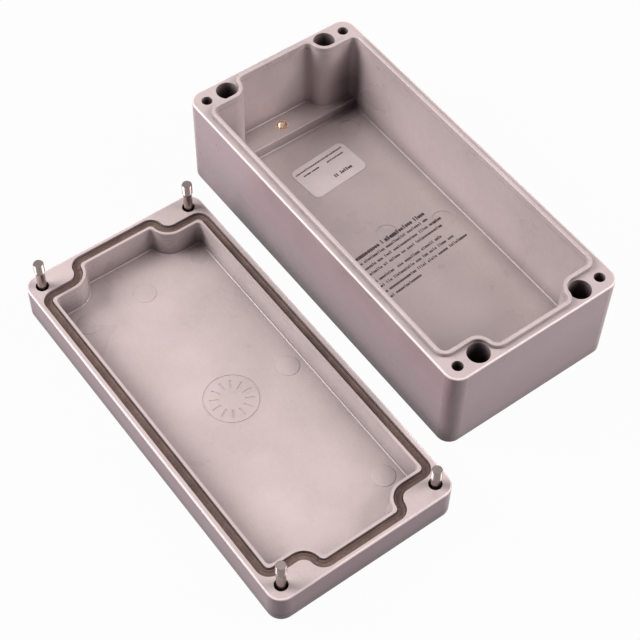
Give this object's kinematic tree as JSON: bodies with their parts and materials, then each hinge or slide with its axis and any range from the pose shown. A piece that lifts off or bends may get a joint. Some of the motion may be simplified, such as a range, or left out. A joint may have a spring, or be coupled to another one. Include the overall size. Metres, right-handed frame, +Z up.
{
  "type": "fiberglass enclosure",
  "caption": "Rectangular moulded enclosure for electronics, open, with its lid laid beside it inside up, a foamed gasket in the lid and captive lid screws.",
  "frame": {"origin": "centre of the base's underside", "axes": "+X along the base's long side, +Y across it away from the lid, +Z up, out of the base's mouth"},
  "size_m": [0.1803, 0.1623, 0.0423],
  "materials": {
    "moulded_grp": "satin as moulded",
    "foam_gasket": "closed foam skin",
    "ring_rubber": "matt",
    "stainless": "turned",
    "brass": "turned",
    "label_film": "satin film"
  },
  "bodies": {
    "base": {"base_box": "moulded_grp", "label": "label_film", "corner_insert_1": "brass", "corner_insert_2": "brass", "corner_insert_3": "brass", "corner_insert_4": "brass", "panel_insert_1": "brass", "panel_insert_2": "brass"},
    "lid": {"lid": "moulded_grp", "gasket": "foam_gasket"},
    "ring_1": {"screw_ring_1": "ring_rubber"},
    "screw_1": {"lid_screw_1": "stainless"},
    "ring_2": {"screw_ring_2": "ring_rubber"},
    "screw_2": {"lid_screw_2": "stainless"},
    "ring_3": {"screw_ring_3": "ring_rubber"},
    "screw_3": {"lid_screw_3": "stainless"},
    "ring_4": {"screw_ring_4": "ring_rubber"},
    "screw_4": {"lid_screw_4": "stainless"}
  },
  "joints": [
    {"name": "lid_lift", "type": "slide", "parent": "base", "child": "lid", "axis": [0, 0, 1], "range_m": [0, 0.06]},
    {"name": "screw_1_float", "type": "slide", "parent": "lid", "child": "ring_1", "axis": [0, 0, 1], "range_m": [-0.0041, 0]},
    {"name": "screw_1_turn", "type": "hinge", "parent": "ring_1", "child": "screw_1", "pos_m": [-0.0541, -0.1192, 0], "axis": [0, 0, 1], "continuous": true},
    {"name": "screw_2_float", "type": "slide", "parent": "lid", "child": "ring_2", "axis": [0, 0, 1], "range_m": [-0.0041, 0]},
    {"name": "screw_2_turn", "type": "hinge", "parent": "ring_2", "child": "screw_2", "pos_m": [-0.0541, -0.0554, 0], "axis": [0, 0, 1], "continuous": true},
    {"name": "screw_3_float", "type": "slide", "parent": "lid", "child": "ring_3", "axis": [0, 0, 1], "range_m": [0, 0.0041]},
    {"name": "screw_3_turn", "type": "hinge", "parent": "ring_3", "child": "screw_3", "pos_m": [0.0947, -0.0554, 0], "axis": [0, 0, 1], "continuous": true},
    {"name": "screw_4_float", "type": "slide", "parent": "lid", "child": "ring_4", "axis": [0, 0, 1], "range_m": [-0.0041, 0]},
    {"name": "screw_4_turn", "type": "hinge", "parent": "ring_4", "child": "screw_4", "pos_m": [0.0947, -0.1192, 0], "axis": [0, 0, 1], "continuous": true}
  ]
}
